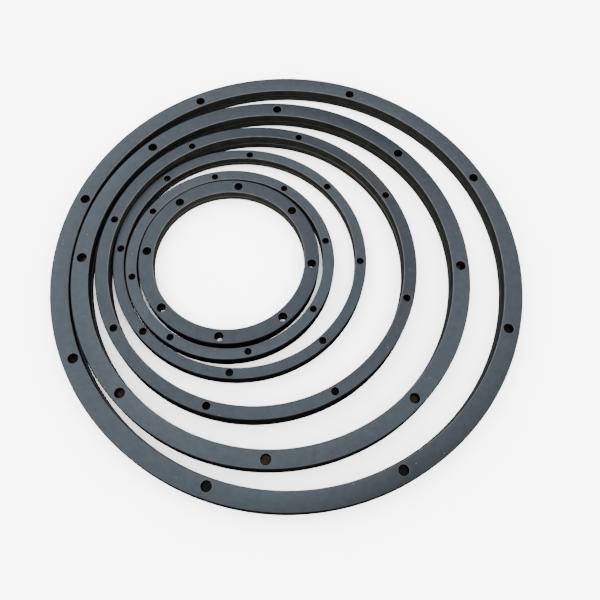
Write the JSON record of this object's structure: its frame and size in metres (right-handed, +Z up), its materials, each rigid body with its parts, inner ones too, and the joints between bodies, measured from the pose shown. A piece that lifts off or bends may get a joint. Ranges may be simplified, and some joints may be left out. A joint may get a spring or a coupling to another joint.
{
  "type": "slewing ring bearing set",
  "caption": "Nested set of graduated thin slewing ring bearings in blackened steel, each a flat upper ring turning on a lower ring over a caged ball row, pierced for bolts.",
  "frame": {"origin": "centre of the largest bearing on the plane that all the lower rings rest on", "axes": "+Z up along the turning axes, +X towards the wide gaps between the nested rings, +Y away from the viewer"},
  "size_m": [0.5, 0.5, 0.0225],
  "materials": {
    "blackened_steel": "satin, black oxide",
    "ball_steel": "polished",
    "cage_nylon": "moulded nylon",
    "seal_rubber": "matte",
    "plug_steel": "satin, black oxide"
  },
  "bodies": {
    "lower_500": {"bearing500_lower_ring": "blackened_steel", "bearing500_bore_seal": "seal_rubber", "bearing500_dust_lip": "seal_rubber"},
    "upper_500": {"bearing500_upper_ring": "blackened_steel", "bearing500_loading_plug": "plug_steel", "bearing500_plug_pin": "plug_steel"},
    "cage_500": {"bearing500_ball_cage": "cage_nylon", "bearing500_balls": "ball_steel"},
    "lower_422": {"bearing422_lower_ring": "blackened_steel", "bearing422_bore_seal": "seal_rubber", "bearing422_dust_lip": "seal_rubber"},
    "upper_422": {"bearing422_upper_ring": "blackened_steel", "bearing422_loading_plug": "plug_steel", "bearing422_plug_pin": "plug_steel"},
    "cage_422": {"bearing422_ball_cage": "cage_nylon", "bearing422_balls": "ball_steel"},
    "lower_340": {"bearing340_lower_ring": "blackened_steel", "bearing340_bore_seal": "seal_rubber", "bearing340_dust_lip": "seal_rubber"},
    "upper_340": {"bearing340_upper_ring": "blackened_steel", "bearing340_loading_plug": "plug_steel", "bearing340_plug_pin": "plug_steel"},
    "cage_340": {"bearing340_ball_cage": "cage_nylon", "bearing340_balls": "ball_steel"},
    "lower_272": {"bearing272_lower_ring": "blackened_steel", "bearing272_bore_seal": "seal_rubber", "bearing272_dust_lip": "seal_rubber"},
    "upper_272": {"bearing272_upper_ring": "blackened_steel", "bearing272_loading_plug": "plug_steel", "bearing272_plug_pin": "plug_steel"},
    "cage_272": {"bearing272_ball_cage": "cage_nylon", "bearing272_balls": "ball_steel"},
    "lower_223": {"bearing223_lower_ring": "blackened_steel", "bearing223_bore_seal": "seal_rubber", "bearing223_dust_lip": "seal_rubber"},
    "upper_223": {"bearing223_upper_ring": "blackened_steel", "bearing223_loading_plug": "plug_steel", "bearing223_plug_pin": "plug_steel"},
    "cage_223": {"bearing223_ball_cage": "cage_nylon", "bearing223_balls": "ball_steel"},
    "lower_194": {"bearing194_lower_ring": "blackened_steel", "bearing194_bore_seal": "seal_rubber", "bearing194_dust_lip": "seal_rubber"},
    "upper_194": {"bearing194_upper_ring": "blackened_steel", "bearing194_loading_plug": "plug_steel", "bearing194_plug_pin": "plug_steel"},
    "cage_194": {"bearing194_ball_cage": "cage_nylon", "bearing194_balls": "ball_steel"}
  },
  "joints": [
    {"name": "turn_500", "type": "hinge", "parent": "lower_500", "child": "upper_500", "pos_m": [0, 0, 0.00646], "axis": [0, 0, 1], "continuous": true},
    {"name": "ball_row_500", "type": "hinge", "parent": "lower_500", "child": "cage_500", "pos_m": [0, 0, 0.00646], "axis": [0, 0, 1], "continuous": true},
    {"name": "lift_out_422", "type": "slide", "parent": "lower_500", "child": "lower_422", "axis": [0, 0, 1], "range_m": [0, 0.06]},
    {"name": "turn_422", "type": "hinge", "parent": "lower_422", "child": "upper_422", "pos_m": [-0.0173, -0.003, 0.0076], "axis": [0, 0, 1], "continuous": true},
    {"name": "ball_row_422", "type": "hinge", "parent": "lower_422", "child": "cage_422", "pos_m": [-0.0173, -0.003, 0.0076], "axis": [0, 0, 1], "continuous": true},
    {"name": "lift_out_340", "type": "slide", "parent": "lower_500", "child": "lower_340", "axis": [0, 0, 1], "range_m": [0, 0.06]},
    {"name": "turn_340", "type": "hinge", "parent": "lower_340", "child": "upper_340", "pos_m": [-0.0334, -0.0007, 0.00855], "axis": [0, 0, 1], "continuous": true},
    {"name": "ball_row_340", "type": "hinge", "parent": "lower_340", "child": "cage_340", "pos_m": [-0.0334, -0.0007, 0.00855], "axis": [0, 0, 1], "continuous": true},
    {"name": "lift_out_272", "type": "slide", "parent": "lower_500", "child": "lower_272", "axis": [0, 0, 1], "range_m": [0, 0.06]},
    {"name": "turn_272", "type": "hinge", "parent": "lower_272", "child": "upper_272", "pos_m": [-0.0522, 0.0052, 0.0057], "axis": [0, 0, 1], "continuous": true},
    {"name": "ball_row_272", "type": "hinge", "parent": "lower_272", "child": "cage_272", "pos_m": [-0.0522, 0.0052, 0.0057], "axis": [0, 0, 1], "continuous": true},
    {"name": "lift_out_223", "type": "slide", "parent": "lower_500", "child": "lower_223", "axis": [0, 0, 1], "range_m": [0, 0.06]},
    {"name": "turn_223", "type": "hinge", "parent": "lower_223", "child": "upper_223", "pos_m": [-0.0624, -0.0003, 0.00608], "axis": [0, 0, 1], "continuous": true},
    {"name": "ball_row_223", "type": "hinge", "parent": "lower_223", "child": "cage_223", "pos_m": [-0.0624, -0.0003, 0.00608], "axis": [0, 0, 1], "continuous": true},
    {"name": "lift_out_194", "type": "slide", "parent": "lower_500", "child": "lower_194", "axis": [0, 0, 1], "range_m": [0, 0.06]},
    {"name": "turn_194", "type": "hinge", "parent": "lower_194", "child": "upper_194", "pos_m": [-0.0639, 0.0011, 0.00608], "axis": [0, 0, 1], "continuous": true},
    {"name": "ball_row_194", "type": "hinge", "parent": "lower_194", "child": "cage_194", "pos_m": [-0.0639, 0.0011, 0.00608], "axis": [0, 0, 1], "continuous": true}
  ],
  "couplings": [
    {"joint": "ball_row_500", "follows": "turn_500", "ratio": 0.5},
    {"joint": "ball_row_422", "follows": "turn_422", "ratio": 0.5},
    {"joint": "ball_row_340", "follows": "turn_340", "ratio": 0.5},
    {"joint": "ball_row_272", "follows": "turn_272", "ratio": 0.5},
    {"joint": "ball_row_223", "follows": "turn_223", "ratio": 0.5},
    {"joint": "ball_row_194", "follows": "turn_194", "ratio": 0.5}
  ]
}
